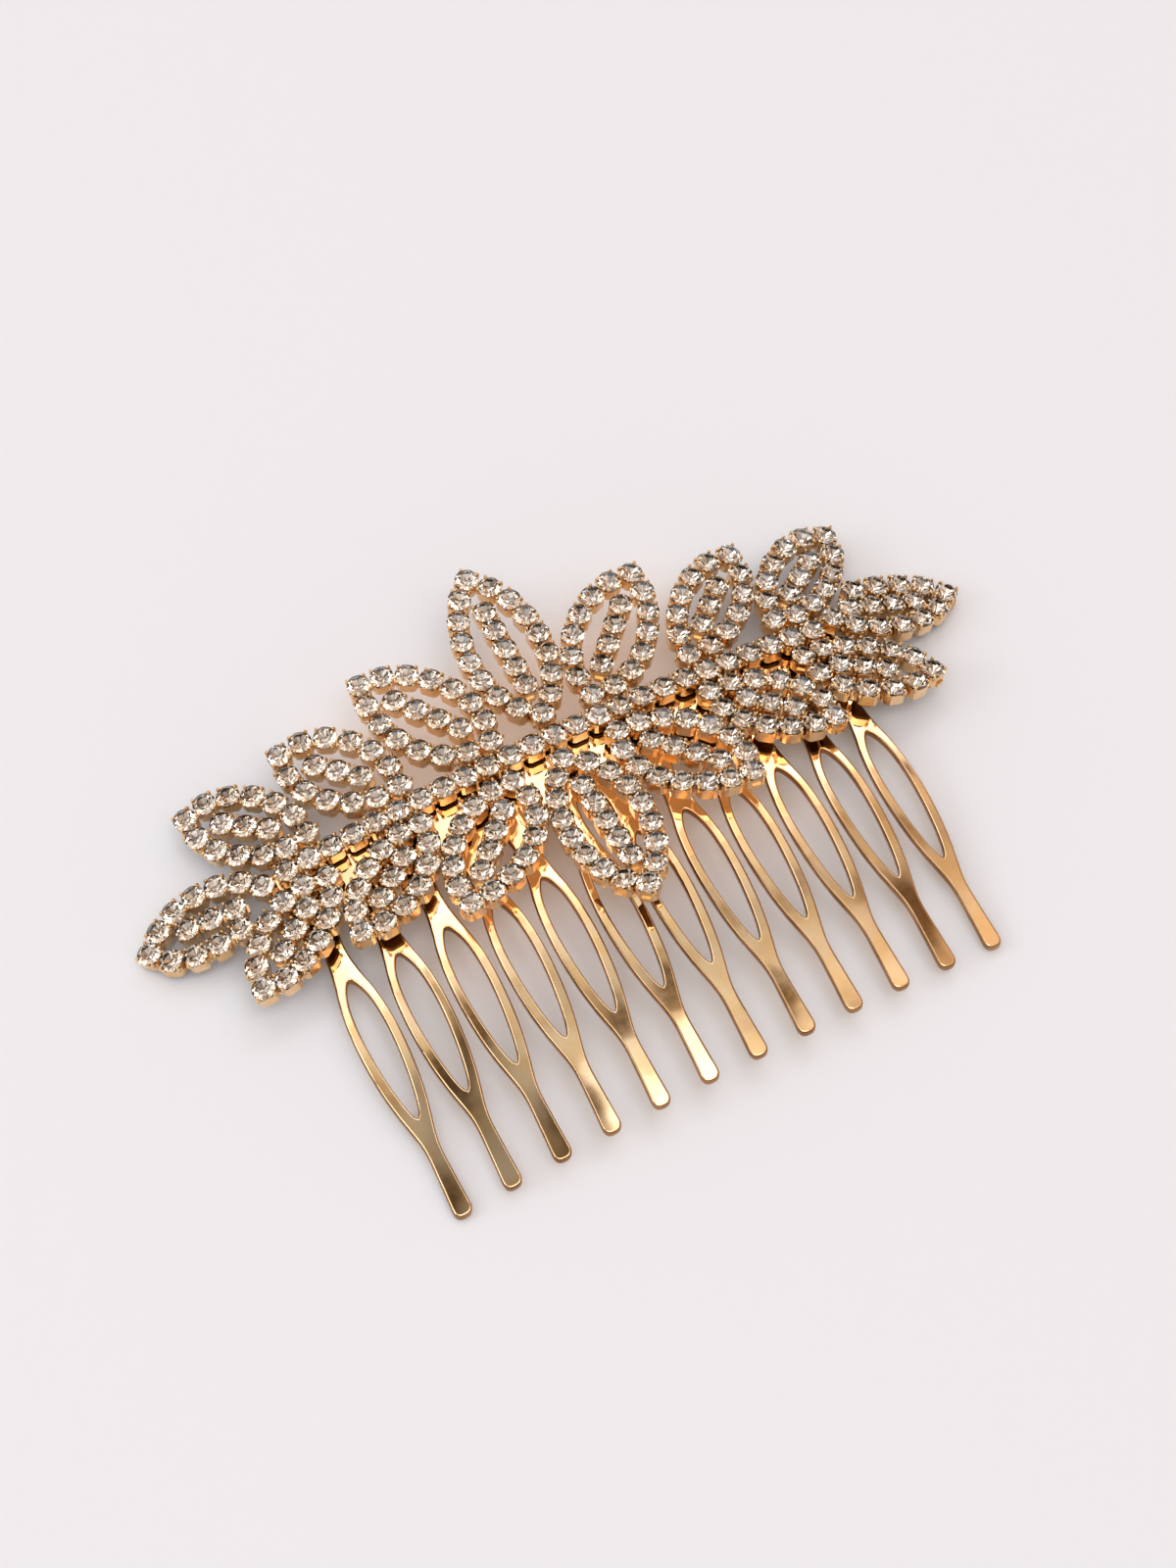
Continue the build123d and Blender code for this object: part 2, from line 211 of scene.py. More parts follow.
# The comb. One flat plate of brass, stamped out with its twelve split teeth, tumbled so that its
# edges are round, bent to the curve of the head and plated in pale gold. The faces are bright,
# with the faint waves and fine scratches of rolled sheet, and the rounded edges carry a dark
# painted shade for the dark that they reflect.
def plated_gold(name, pale, deep, wave_size, wave_depth, gloss):
    """Polished gold in two given tones in soft clouds, with slow waves and fine scratches; given dark tones,
    it makes a painted shade.
    """
    finish = bpy.data.materials.new(name)
    finish.use_nodes = True
    nodes = finish.node_tree.nodes
    links = finish.node_tree.links
    shader = nodes["Principled BSDF"]
    shader.inputs["Metallic"].default_value = 1.0
    place = nodes.new("ShaderNodeTexCoord")
    clouds = nodes.new("ShaderNodeTexNoise")
    clouds.inputs["Scale"].default_value = 260.0
    clouds.inputs["Detail"].default_value = 3.0
    tone = nodes.new("ShaderNodeValToRGB")
    tone.color_ramp.elements[0].position = 0.35
    tone.color_ramp.elements[0].color = deep
    tone.color_ramp.elements[1].position = 0.62
    tone.color_ramp.elements[1].color = pale
    rub = nodes.new("ShaderNodeTexNoise")
    rub.inputs["Scale"].default_value = 1400.0
    rub.inputs["Detail"].default_value = 4.0
    rub_range = nodes.new("ShaderNodeMapRange")
    rub_range.inputs["To Min"].default_value = gloss * 0.6
    rub_range.inputs["To Max"].default_value = gloss * 1.5
    waves = nodes.new("ShaderNodeTexNoise")
    waves.inputs["Scale"].default_value = 1.0 / wave_size
    waves.inputs["Detail"].default_value = 2.0
    bump = nodes.new("ShaderNodeBump")
    bump.inputs["Distance"].default_value = wave_depth
    bump.inputs["Strength"].default_value = 1.0
    for texture in (clouds, rub, waves):
        links.new(place.outputs["Object"], texture.inputs["Vector"])
    links.new(clouds.outputs["Fac"], tone.inputs["Fac"])
    links.new(tone.outputs["Color"], shader.inputs["Base Color"])
    links.new(rub.outputs["Fac"], rub_range.inputs["Value"])
    links.new(rub_range.outputs["Result"], shader.inputs["Roughness"])
    links.new(waves.outputs["Fac"], bump.inputs["Height"])
    links.new(bump.outputs["Normal"], shader.inputs["Normal"])
    return finish


def settled(maker):
    """The plain mesh that an object's modifiers make, as a new object; the maker is removed."""
    ready = maker.evaluated_get(bpy.context.evaluated_depsgraph_get())
    mesh = bpy.data.meshes.new_from_object(ready)
    name = maker.name
    maker.name = name + "_maker"
    old = maker.data
    bpy.data.objects.remove(maker)
    bpy.data.meshes.remove(old)
    mesh.name = name
    made = bpy.data.objects.new(name, mesh)
    bpy.context.collection.objects.link(made)
    return made


PLATE_THICKNESS = 1.10
EDGE_ROUND = 0.26
BAR_TOP_HEIGHT = 5.90
BAR_BACK = 1.20
BAR_HALF_LENGTH = 36.3
BAR_CORNER = 1.60
TOOTH_COUNT = 12
TOOTH_PITCH = 6.05
TOOTH_ROW_CENTRE = -0.80
TOOTH_TIP_LEFT = -44.80
TOOTH_TIP_RIGHT = -43.70
TOOTH_LEAN = 1.2
TIP_HEIGHT = 3.32
BEND_START = -5.00
ARCH_RADIUS = 215.0
TIP_BLUNTNESS = 2.6
OUTLINE_STEP = 0.6
EYE_STEP = 0.5
# Half widths of a tooth at distances up from its tip: the outline, and the eye between its legs
Station = namedtuple("Station", "up outline eye")
TOOTH = [
    Station(1.2, 1.08, 0.0),
    Station(4.5, 0.95, 0.0),
    Station(8.5, 0.92, 0.0),
    Station(12.0, 1.60, 0.0),
    Station(13.2, 1.86, 0.55),
    Station(16.5, 2.35, 1.12),
    Station(21.0, 2.62, 1.50),
    Station(25.0, 2.50, 1.45),
    Station(28.0, 2.12, 0.98),
    Station(29.8, 1.72, 0.0),
    Station(33.0, 1.26, 0.0),
    Station(35.6, 1.42, 0.0),
    Station(37.2, 2.10, 0.0),
    Station(38.0, 3.00, 0.0),
]


def smooth_line(points, step, closed=False):
    """Points about a step apart on a smooth line through the given points."""
    count = len(points)
    found = []
    spans = count if closed else count - 1
    for index in range(spans):
        if closed:
            corners = [points[(index + offset) % count] for offset in (-1, 0, 1, 2)]
        else:
            corners = [points[min(max(index + offset, 0), count - 1)] for offset in (-1, 0, 1, 2)]
        before, start, end, after = (Vector(corner) for corner in corners)
        pieces = max(1, math.ceil((end - start).length / step))
        span = (end - start).length
        slope_in = (end - before) * (span / max((end - start).length + (start - before).length, 0.001))
        slope_out = (after - start) * (span / max((after - end).length + (end - start).length, 0.001))
        for piece in range(pieces):
            t = piece / pieces
            found.append(
                start * (2 * t**3 - 3 * t**2 + 1)
                + slope_in * (t**3 - 2 * t**2 + t)
                + end * (3 * t**2 - 2 * t**3)
                + slope_out * (t**3 - t**2)
            )
    if not closed:
        found.append(Vector(points[-1]))
    return found


def on_tooth(tooth, points):
    """Points of a tooth's own drawing, leaned about its tip and put in its place in the row."""
    tip_x = TOOTH_ROW_CENTRE + (tooth - (TOOTH_COUNT - 1) / 2) * TOOTH_PITCH
    tip_y = TOOTH_TIP_LEFT + (TOOTH_TIP_RIGHT - TOOTH_TIP_LEFT) * tooth / (TOOTH_COUNT - 1)
    lean = Matrix.Rotation(-math.radians(TOOTH_LEAN), 2)
    return [lean @ point + Vector((tip_x, tip_y)) for point in points]


tip_station = TOOTH[0]
tip_arc = []
tip_steps = 16
for step in range(1, tip_steps):
    turn = math.radians(180 * step / tip_steps)
    across = math.copysign(abs(math.cos(turn)) ** (2 / TIP_BLUNTNESS), math.cos(turn))
    down = math.sin(turn) ** (2 / TIP_BLUNTNESS)
    tip_arc.append(Vector((-tip_station.outline * across, tip_station.up * (1 - down))))
side_points = [(station.outline, station.up) for station in TOOTH]
right_side = smooth_line(side_points, OUTLINE_STEP)
left_side = [Vector((-point.x, point.y)) for point in reversed(right_side)]
eye_stations = [station for station in TOOTH if station.eye]
eye_bottom = TOOTH[TOOTH.index(eye_stations[0]) - 1].up
eye_top = TOOTH[TOOTH.index(eye_stations[-1]) + 1].up
eye_points = [(0, eye_bottom)] + [(station.eye, station.up) for station in eye_stations]
eye_points += [(0, eye_top)] + [(-station.eye, station.up) for station in reversed(eye_stations)]
eye_line = smooth_line(eye_points, EYE_STEP, closed=True)

plate_outline = []
for tooth in range(TOOTH_COUNT):
    plate_outline += on_tooth(tooth, left_side + tip_arc + right_side)
corner_steps = 6
for step in range(corner_steps + 1):
    turn = math.radians(90 * step / corner_steps)
    plate_outline.append(
        Vector((
            BAR_HALF_LENGTH - BAR_CORNER * (1 - math.cos(turn)),
            BAR_BACK - BAR_CORNER * (1 - math.sin(turn)),
        ))
    )
back_steps = 36
reach = BAR_HALF_LENGTH - BAR_CORNER
for step in range(1, back_steps):
    plate_outline.append(Vector((reach - 2 * reach * step / back_steps, BAR_BACK)))
for step in range(corner_steps + 1):
    turn = math.radians(90 + 90 * step / corner_steps)
    plate_outline.append(
        Vector((
            -BAR_HALF_LENGTH + BAR_CORNER * (1 + math.cos(turn)),
            BAR_BACK - BAR_CORNER * (1 - math.sin(turn)),
        ))
    )

plate_curve = bpy.data.curves.new("stamped_comb", "CURVE")
plate_curve.dimensions = "2D"
plate_curve.fill_mode = "BOTH"
plate_curve.extrude = PLATE_THICKNESS / 2 - EDGE_ROUND
plate_curve.bevel_depth = EDGE_ROUND
plate_curve.bevel_resolution = 2
plate_curve.offset = -EDGE_ROUND
cuts = [plate_outline] + [on_tooth(tooth, eye_line) for tooth in range(TOOTH_COUNT)]
for cut in cuts:
    line = plate_curve.splines.new("POLY")
    line.points.add(len(cut) - 1)
    for point, place in zip(line.points, cut):
        point.co = (place.x, place.y, 0, 1)
    line.use_cyclic_u = True
comb_maker = bpy.data.objects.new("comb_maker", plate_curve)
bpy.context.collection.objects.link(comb_maker)
comb_maker.update_tag()
flat_comb = bpy.data.meshes.new_from_object(
    comb_maker.evaluated_get(bpy.context.evaluated_depsgraph_get())
)
bpy.data.objects.remove(comb_maker)
bpy.data.curves.remove(plate_curve)

# The flat plate is cut into short strips, so that it can follow the bend
plate = bmesh.new()
plate.from_mesh(flat_comb)
bmesh.ops.remove_doubles(plate, verts=plate.verts, dist=0.0005)
Strips = namedtuple("Strips", "axis start gap count")
STRIPS = [
    Strips(Vector((1, 0, 0)), -36.0, 3.0, 24),
    Strips(Vector((0, 1, 0)), -46.0, 3.5, 14),
]
for axis, start, gap, count in STRIPS:
    for number in range(count + 1):
        everything = plate.verts[:] + plate.edges[:] + plate.faces[:]
        bmesh.ops.bisect_plane(
            plate, geom=everything, dist=0.0001, plane_co=axis * (start + gap * number), plane_no=axis
        )
plate.verts.index_update()
BEND_PAST_TIP = 2.0
bend_reach = BEND_START - (TOOTH_TIP_LEFT - BEND_PAST_TIP)
bend_drop = BAR_TOP_HEIGHT - TIP_HEIGHT
bend_radius = (bend_reach**2 + bend_drop**2) / (2 * bend_drop)
arch_centre = BAR_TOP_HEIGHT - ARCH_RADIUS
flat_normals = {}
for vertex in plate.verts:
    x, y, z = vertex.co
    down = min(y - BEND_START, 0.0)
    top = BAR_TOP_HEIGHT - bend_radius + math.sqrt(bend_radius**2 - down**2)
    arch = top - PLATE_THICKNESS / 2 + z - arch_centre
    height = arch_centre + math.sqrt(arch**2 - x**2)
    if abs(z) > PLATE_THICKNESS / 2 - 0.001:
        slope = -down / math.sqrt(bend_radius**2 - down**2)
        flat_normals[vertex.index] = Vector((x, -slope * arch, height - arch_centre)) * z
    vertex.co = Vector((x, y, height)) * MM + DRAWING_ORIGIN
bmesh.ops.recalc_face_normals(plate, faces=plate.faces)
plate.normal_update()
normals = [flat_normals.get(vertex.index, vertex.normal).normalized() for vertex in plate.verts]
# Faces that lean further than this are the rounded edge, which gets the dark painted shade
FACE_SLOPE = 0.8
for face in plate.faces:
    face.material_index = int(abs(face.normal.z) < FACE_SLOPE)
comb_mesh = bpy.data.meshes.new("stamped_comb")
plate.to_mesh(comb_mesh)
plate.free()
bpy.data.meshes.remove(flat_comb)
SHEET_WAVE = 7 * MM
SHEET_WAVE_DEPTH = 0.03 * MM
comb_gold = plated_gold(
    "comb_plating", (0.95, 0.70, 0.42, 1), (0.90, 0.60, 0.29, 1), SHEET_WAVE, SHEET_WAVE_DEPTH, 0.06
)
# Dark gold for the steep faces of the rounded edges: a painted shade
edge_painted_shade = plated_gold(
    "sheared_edge_plating",
    (0.42, 0.21, 0.09, 1),
    (0.26, 0.12, 0.045, 1),
    SHEET_WAVE,
    SHEET_WAVE_DEPTH,
    0.10,
)
comb_mesh.materials.append(comb_gold)
comb_mesh.materials.append(edge_painted_shade)
comb_mesh.shade_smooth()
comb_mesh.normals_split_custom_set_from_vertices(normals)
stamped_comb = bpy.data.objects.new("stamped_comb", comb_mesh)
bpy.context.collection.objects.link(stamped_comb)
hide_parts("comb")
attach(stamped_comb, "root")

# The settings. Cup chain: square brass cups with round corners, open at the top and joined by
# short links, bent into leaves, with a straight run along the bar. Every cup has four claws,
# pressed over its stone. The cups are soldered where they meet, and plated with the comb.
RIM_HEIGHT = 8.15
CROSS_TILT = -0.05
CROSS_CURVE = 0.002
SPINE_START = (-34.1, -0.5)
SPINE_END = (33.6, -0.1)
SPINE_BOW = 0.15
SPINE_STONES = 25
Leaf = namedtuple(
    "Leaf",
    "name tip_x tip_y foot_x foot_y a_tip_bow a_foot_bow b_tip_bow b_foot_bow "
    "a_stones a_places b_stones b_places foot_stone vein_first vein_last vein_side vein_stones",
)
LEAVES = [
    Leaf("left_end_leaf", -51.5, -1.2, -35.9, -3.2, 5.5, 6.5, 5.4, 0.9, 6, 7, 4, 6, 0, 4.8, 10.4, 0.9, 3),
    Leaf("upper_leaf_1", -41.25, 11.5, -30.2, 2.6, 5.5, 4.4, 4.7, 5.0, 5, 6, 5, 6, 1, 4.3, 9.8, 0.0, 3),
    Leaf("upper_leaf_2", -28.7, 13.05, -18.5, 2.55, 5.7, 4.5, 5.2, 5.2, 5, 6, 5, 6, 1, 4.4, 10.0, -0.1, 3),
    Leaf("upper_leaf_3", -16.9, 16.5, -7.0, 2.6, 5.7, 5.8, 4.3, 7.6, 6, 7, 6, 7, 1, 4.6, 13.2, 0.0, 4),
    Leaf("upper_leaf_4", 0.3, 23.2, -0.1, 3.1, 5.7, 5.9, 5.1, 6.7, 7, 8, 7, 8, 1, 4.8, 15.8, 0.0, 5),
    Leaf("upper_leaf_5", 18.1, 15.8, 6.1, 2.7, 4.8, 6.0, 5.5, 6.05, 6, 7, 6, 7, 1, 4.7, 13.4, 0.0, 4),
    Leaf("upper_leaf_6", 30.0, 13.5, 18.7, 2.75, 4.9, 4.5, 4.7, 4.2, 5, 6, 5, 6, 1, 5.0, 10.9, 0.1, 3),
    Leaf("upper_leaf_7", 42.2, 11.8, 30.2, 3.0, 4.5, 4.2, 5.5, 4.0, 5, 6, 5, 6, 1, 4.6, 10.3, 0.0, 3),
    Leaf("right_end_leaf", 51.55, -1.0, 35.6, 3.1, 5.9, 5.5, 3.0, 2.0, 6, 7, 4, 6, 0, 4.2, 12.2, 0.9, 4),
    Leaf("lower_leaf_1", -42.4, -12.4, -30.5, -3.6, 4.8, 4.5, 4.0, 3.8, 5, 6, 5, 6, 1, 4.8, 10.5, 0.2, 3),
    Leaf("lower_leaf_2", -30.2, -11.95, -18.6, -3.1, 4.35, 3.5, 4.4, 4.85, 5, 6, 5, 6, 1, 4.5, 10.1, -0.2, 3),
    Leaf("lower_leaf_3", -18.3, -15.25, -7.2, -3.4, 5.7, 5.1, 4.2, 7.4, 6, 7, 6, 7, 1, 4.2, 12.3, 0.0, 4),
    Leaf("lower_leaf_4", -0.4, -22.9, -0.9, -3.5, 6.0, 5.3, 5.6, 7.0, 7, 8, 7, 8, 1, 4.3, 15.2, -0.2, 5),
    Leaf("lower_leaf_5", 17.2, -14.9, 6.3, -3.05, 4.5, 7.0, 6.8, 5.0, 6, 7, 6, 7, 1, 3.9, 12.1, -0.2, 4),
    Leaf("lower_leaf_6", 29.6, -12.2, 18.35, -2.95, 3.6, 5.0, 5.7, 3.7, 5, 6, 5, 6, 1, 4.7, 10.3, -0.1, 3),
    Leaf("lower_leaf_7", 43.7, -10.7, 30.7, -3.0, 5.0, 5.7, 3.6, 2.9, 5, 6, 5, 6, 1, 5.3, 10.8, 0.7, 3),
]


def arch_drop(x):
    """How far the arch has fallen at x."""
    return ARCH_RADIUS - math.sqrt(ARCH_RADIUS**2 - x**2)


def rim_point(x, y):
    """The centre of a cup's rim at x, y, in millimetres of the drawing."""
    return Vector((x, y, RIM_HEIGHT - arch_drop(x) + CROSS_TILT * y + CROSS_CURVE * y**2))


def rim_normal(x, y):
    """The upward normal of the surface that the rims lie on."""
    along = -x / math.sqrt(ARCH_RADIUS**2 - x**2)
    across = CROSS_TILT + 2 * CROSS_CURVE * y
    return Vector((-along, -across, 1)).normalized()


def even_places(start, end, start_bow, end_bow, places):
    """Places at equal steps along a bowed row; bows are measured to the left of start to end."""
    first = Vector(start)
    last = Vector(end)
    run = last - first
    side = Vector((-run.y, run.x)).normalized()
    near_start = first + run * 0.2 + side * start_bow
    near_end = first + run * 0.8 + side * end_bow
    fine = []
    steps = 80
    for step in range(steps + 1):
        t = step / steps
        flat = (
            first * (1 - t) ** 3
            + near_start * (3 * t * (1 - t) ** 2)
            + near_end * (3 * t**2 * (1 - t))
            + last * t**3
        )
        fine.append(rim_point(flat.x, flat.y))
    lengths = [0.0]
    for before, after in zip(fine, fine[1:]):
        lengths.append(lengths[-1] + (after - before).length)
    found = []
    index = 0
    for place in range(places + 1):
        wanted = lengths[-1] * place / places
        while index < steps - 1 and lengths[index + 1] < wanted:
            index += 1
        share = (wanted - lengths[index]) / (lengths[index + 1] - lengths[index])
        found.append(fine[index].lerp(fine[index + 1], share))
    return found


Seat = namedtuple("Seat", "place along up")


def seats_along(points, closed=False):
    """A seat at each point: its place, the direction of its row and the surface's normal."""
    seats = []
    count = len(points)
    for index, point in enumerate(points):
        before = points[index - 1] if index or closed else point
        after = points[(index + 1) % count] if index < count - 1 or closed else point
        up = rim_normal(point.x, point.y)
        along = after - before
        along = (along - up * along.dot(up)).normalized()
        seats.append(Seat(point, along, up))
    return seats


def leaf_seats(leaf):
    """The seats of a leaf's edge and of its vein."""
    tip = (leaf.tip_x, leaf.tip_y)
    foot = (leaf.foot_x, leaf.foot_y)
    side_a = even_places(tip, foot, leaf.a_tip_bow, leaf.a_foot_bow, leaf.a_places)
    side_b = even_places(tip, foot, -leaf.b_tip_bow, -leaf.b_foot_bow, leaf.b_places)
    side_a = side_a[1 : leaf.a_stones + 1]
    side_b = side_b[1 : leaf.b_stones + 1]
    edge = list(reversed(side_a)) + [rim_point(*tip)] + side_b
    if leaf.foot_stone:
        edge.append(rim_point(*foot))
    run = (Vector(foot) - Vector(tip)).normalized()
    side = Vector((-run.y, run.x))
    step = (leaf.vein_last - leaf.vein_first) / (leaf.vein_stones - 1)
    vein = []
    for index in range(leaf.vein_stones):
        flat = Vector(tip) + run * (leaf.vein_first + step * index) + side * leaf.vein_side
        vein.append(rim_point(flat.x, flat.y))
    edge_seats = seats_along(edge, bool(leaf.foot_stone))
    # The cup at the tip stands cornerwise, so that one claw ends the leaf
    tip_seat = edge_seats[leaf.a_stones]
    eighth_turn = Matrix.Rotation(math.radians(45), 3, tip_seat.up)
    edge_seats[leaf.a_stones] = tip_seat._replace(along=eighth_turn @ tip_seat.along)
    return edge_seats, seats_along(vein)


def seat_points(name, seats):
    """A mesh of loose points, one for each seat, that carries the seats' directions."""
    mesh = bpy.data.meshes.new(name)
    mesh.from_pydata([seat.place * MM + DRAWING_ORIGIN for seat in seats], [], [])
    along = mesh.attributes.new("along", "FLOAT_VECTOR", "POINT")
    up = mesh.attributes.new("up", "FLOAT_VECTOR", "POINT")
    for index, seat in enumerate(seats):
        along.data[index].vector = seat.along
        up.data[index].vector = seat.up
    points = bpy.data.objects.new(name, mesh)
    bpy.context.collection.objects.link(points)
    return points


def hidden_pattern(name, vertices, faces, backs=()):
    """The one shape that is repeated: millimetres, with its rim at Z = 0 and its row along X."""
    mesh = bpy.data.meshes.new(name)
    mesh.from_pydata([Vector(vertex) * MM for vertex in vertices], [], faces)
    flag = mesh.attributes.new("is_back", "BOOLEAN", "FACE")
    for index in range(len(faces)):
        flag.data[index].value = index in backs
    mesh.update()
    return bpy.data.objects.new(name, mesh)


def row_tree(name):
    """A tree that sets one pattern on every seat, leaned and turned a little by chance."""
    tree = bpy.data.node_groups.new(name, "GeometryNodeTree")
    sockets = [
        ("Seats", "NodeSocketGeometry"),
        ("Pattern", "NodeSocketObject"),
        ("Size", "NodeSocketFloat"),
        ("Lean", "NodeSocketFloat"),
        ("Turn", "NodeSocketFloat"),
        ("Seed", "NodeSocketInt"),
        ("Finish", "NodeSocketMaterial"),
        ("Back finish", "NodeSocketMaterial"),
    ]
    for label, kind in sockets:
        tree.interface.new_socket(label, in_out="INPUT", socket_type=kind)
    tree.interface.new_socket("Pieces", in_out="OUTPUT", socket_type="NodeSocketGeometry")
    nodes = tree.nodes
    links = tree.links
    given = nodes.new("NodeGroupInput")
    result = nodes.new("NodeGroupOutput")
    pattern = nodes.new("GeometryNodeObjectInfo")
    along = nodes.new("GeometryNodeInputNamedAttribute")
    along.data_type = "FLOAT_VECTOR"
    along.inputs["Name"].default_value = "along"
    up = nodes.new("GeometryNodeInputNamedAttribute")
    up.data_type = "FLOAT_VECTOR"
    up.inputs["Name"].default_value = "up"
    facing = nodes.new("FunctionNodeAxesToRotation")
    facing.primary_axis = "Z"
    facing.secondary_axis = "X"
    lean_low = nodes.new("ShaderNodeMath")
    lean_low.operation = "MULTIPLY"
    lean_low.inputs[1].default_value = -1.0
    turn_low = nodes.new("ShaderNodeMath")
    turn_low.operation = "MULTIPLY"
    turn_low.inputs[1].default_value = -1.0
    low = nodes.new("ShaderNodeCombineXYZ")
    high = nodes.new("ShaderNodeCombineXYZ")
    chance = nodes.new("FunctionNodeRandomValue")
    chance.data_type = "FLOAT_VECTOR"
    chance_turn = nodes.new("FunctionNodeEulerToRotation")
    turned = nodes.new("FunctionNodeRotateRotation")
    turned.rotation_space = "LOCAL"
    placed = nodes.new("GeometryNodeInstanceOnPoints")
    tone = nodes.new("FunctionNodeRandomValue")
    tone.data_type = "FLOAT"
    toned = nodes.new("GeometryNodeStoreNamedAttribute")
    toned.data_type = "FLOAT"
    toned.domain = "INSTANCE"
    toned.inputs["Name"].default_value = "tone"
    real = nodes.new("GeometryNodeRealizeInstances")
    is_back = nodes.new("GeometryNodeInputNamedAttribute")
    is_back.data_type = "BOOLEAN"
    is_back.inputs["Name"].default_value = "is_back"
    front = nodes.new("GeometryNodeSetMaterial")
    back = nodes.new("GeometryNodeSetMaterial")
    links.new(given.outputs["Pattern"], pattern.inputs["Object"])
    links.new(up.outputs["Attribute"], facing.inputs["Primary Axis"])
    links.new(along.outputs["Attribute"], facing.inputs["Secondary Axis"])
    links.new(given.outputs["Lean"], lean_low.inputs[0])
    links.new(given.outputs["Turn"], turn_low.inputs[0])
    for axis in ("X", "Y"):
        links.new(lean_low.outputs["Value"], low.inputs[axis])
        links.new(given.outputs["Lean"], high.inputs[axis])
    links.new(turn_low.outputs["Value"], low.inputs["Z"])
    links.new(given.outputs["Turn"], high.inputs["Z"])
    links.new(low.outputs["Vector"], chance.inputs["Min"])
    links.new(high.outputs["Vector"], chance.inputs["Max"])
    links.new(given.outputs["Seed"], chance.inputs["Seed"])
    links.new(chance.outputs["Value"], chance_turn.inputs["Euler"])
    links.new(facing.outputs["Rotation"], turned.inputs["Rotation"])
    links.new(chance_turn.outputs["Rotation"], turned.inputs["Rotate By"])
    links.new(given.outputs["Seats"], placed.inputs["Points"])
    links.new(pattern.outputs["Geometry"], placed.inputs["Instance"])
    links.new(turned.outputs["Rotation"], placed.inputs["Rotation"])
    links.new(given.outputs["Size"], placed.inputs["Scale"])
    links.new(placed.outputs["Instances"], toned.inputs["Geometry"])
    links.new(given.outputs["Seed"], tone.inputs["Seed"])
    links.new(tone.outputs[1], toned.inputs["Value"])
    links.new(toned.outputs["Geometry"], real.inputs["Geometry"])
    links.new(real.outputs["Geometry"], front.inputs["Geometry"])
    links.new(given.outputs["Finish"], front.inputs["Material"])
    links.new(front.outputs["Geometry"], back.inputs["Geometry"])
    links.new(is_back.outputs["Attribute"], back.inputs["Selection"])
    links.new(given.outputs["Back finish"], back.inputs["Material"])
    links.new(back.outputs["Geometry"], result.inputs["Pieces"])
    return tree


SET_ON_SEATS = row_tree("set_on_seats")


def set_row(name, seats, pattern, size, lean, turn, seed, finish, back_finish):
    """One object with the pattern set on every seat."""
    maker = seat_points(name, seats)
    row = maker.modifiers.new("row", "NODES")
    row.node_group = SET_ON_SEATS
    given = {
        "Pattern": pattern,
        "Size": size,
        "Lean": lean,
        "Turn": turn,
        "Seed": seed,
        "Finish": finish,
        "Back finish": back_finish,
    }
    for item in SET_ON_SEATS.interface.items_tree:
        if item.in_out == "INPUT" and item.name in given:
            row[item.identifier] = given[item.name]
    made = settled(maker)
    for spare in ("along", "up", "is_back"):
        if spare in made.data.attributes:
            made.data.attributes.remove(made.data.attributes[spare])
    return made


def joined_as(name, pieces):
    """The meshes of the pieces as one object."""
    whole = bmesh.new()
    finishes = []
    for piece in pieces:
        first_face = len(whole.faces)
        whole.from_mesh(piece.data)
        whole.faces.ensure_lookup_table()
        for face in whole.faces[first_face:]:
            finish = piece.data.materials[face.material_index]
            if finish not in finishes:
                finishes.append(finish)
            face.material_index = finishes.index(finish)
    mesh = bpy.data.meshes.new(name)
    whole.to_mesh(mesh)
    whole.free()
    for finish in finishes:
        mesh.materials.append(finish)
    for piece in pieces:
        spent = piece.data
        bpy.data.objects.remove(piece)
        bpy.data.meshes.remove(spent)
    made = bpy.data.objects.new(name, mesh)
    bpy.context.collection.objects.link(made)
    return made


def ring(outline, shrink, heights):
    """The cup's outline drawn in by a share, at its corner height and its side height."""
    corner_z, side_z = heights
    points = []
    for index, (x, y) in enumerate(outline):
        z = corner_z if index % 3 == 1 else side_z
        points.append((x * shrink, y * shrink, z))
    return points


def quarter_turns(x, y):
    """The point x, y and its places after one, two and three quarter turns."""
    return [(x, y), (-y, x), (-x, -y), (y, -x)]


CUP_HALF = 1.29
CUP_FLAT = 0.70
CUP_CORNER = 1.08
cup_outline = []
for quarter in range(4):
    for x, y in ((CUP_HALF, CUP_FLAT), (CUP_CORNER, CUP_CORNER), (CUP_FLAT, CUP_HALF)):
        cup_outline.append(quarter_turns(x, y)[quarter])
cup_rings = [
    ring(cup_outline, 0.80, (-2.05, -2.05)),
    ring(cup_outline, 0.97, (-1.72, -1.72)),
    ring(cup_outline, 1.00, (0.05, -0.22)),
    ring(cup_outline, 0.89, (0.05, -0.22)),
    ring(cup_outline, 0.84, (-1.1, -1.1)),
]
cup_vertices = [point for points in cup_rings for point in points]
around = len(cup_outline)
top_ring = (len(cup_rings) - 1) * around
cup_faces = []
for base in range(0, top_ring, around):
    for index in range(around):
        after = (index + 1) % around
        cup_faces.append((base + index, base + after, base + around + after, base + around + index))
cup_faces.append(tuple(reversed(range(around))))
cup_faces.append(tuple(range(top_ring, top_ring + around)))
# The faces with painted shade: the bevel of the underside, the walls inside, the underside and the floor
# inside
painted_shade_cup_faces = list(range(around)) + list(range(top_ring - around, top_ring + 2))
LINK_HALF = (1.47, 0.5)
LINK_HEIGHTS = (-1.75, -1.15)
link_start = len(cup_vertices)
for z in LINK_HEIGHTS:
    for x, y in ((-1, -1), (1, -1), (1, 1), (-1, 1)):
        cup_vertices.append((x * LINK_HALF[0], y * LINK_HALF[1], z))
for face in ((3, 2, 1, 0), (4, 5, 6, 7), (0, 1, 5, 4), (1, 2, 6, 5), (2, 3, 7, 6), (3, 0, 4, 7)):
    cup_faces.append(tuple(link_start + corner for corner in face))
cup = hidden_pattern("cup", cup_vertices, cup_faces, painted_shade_cup_faces)

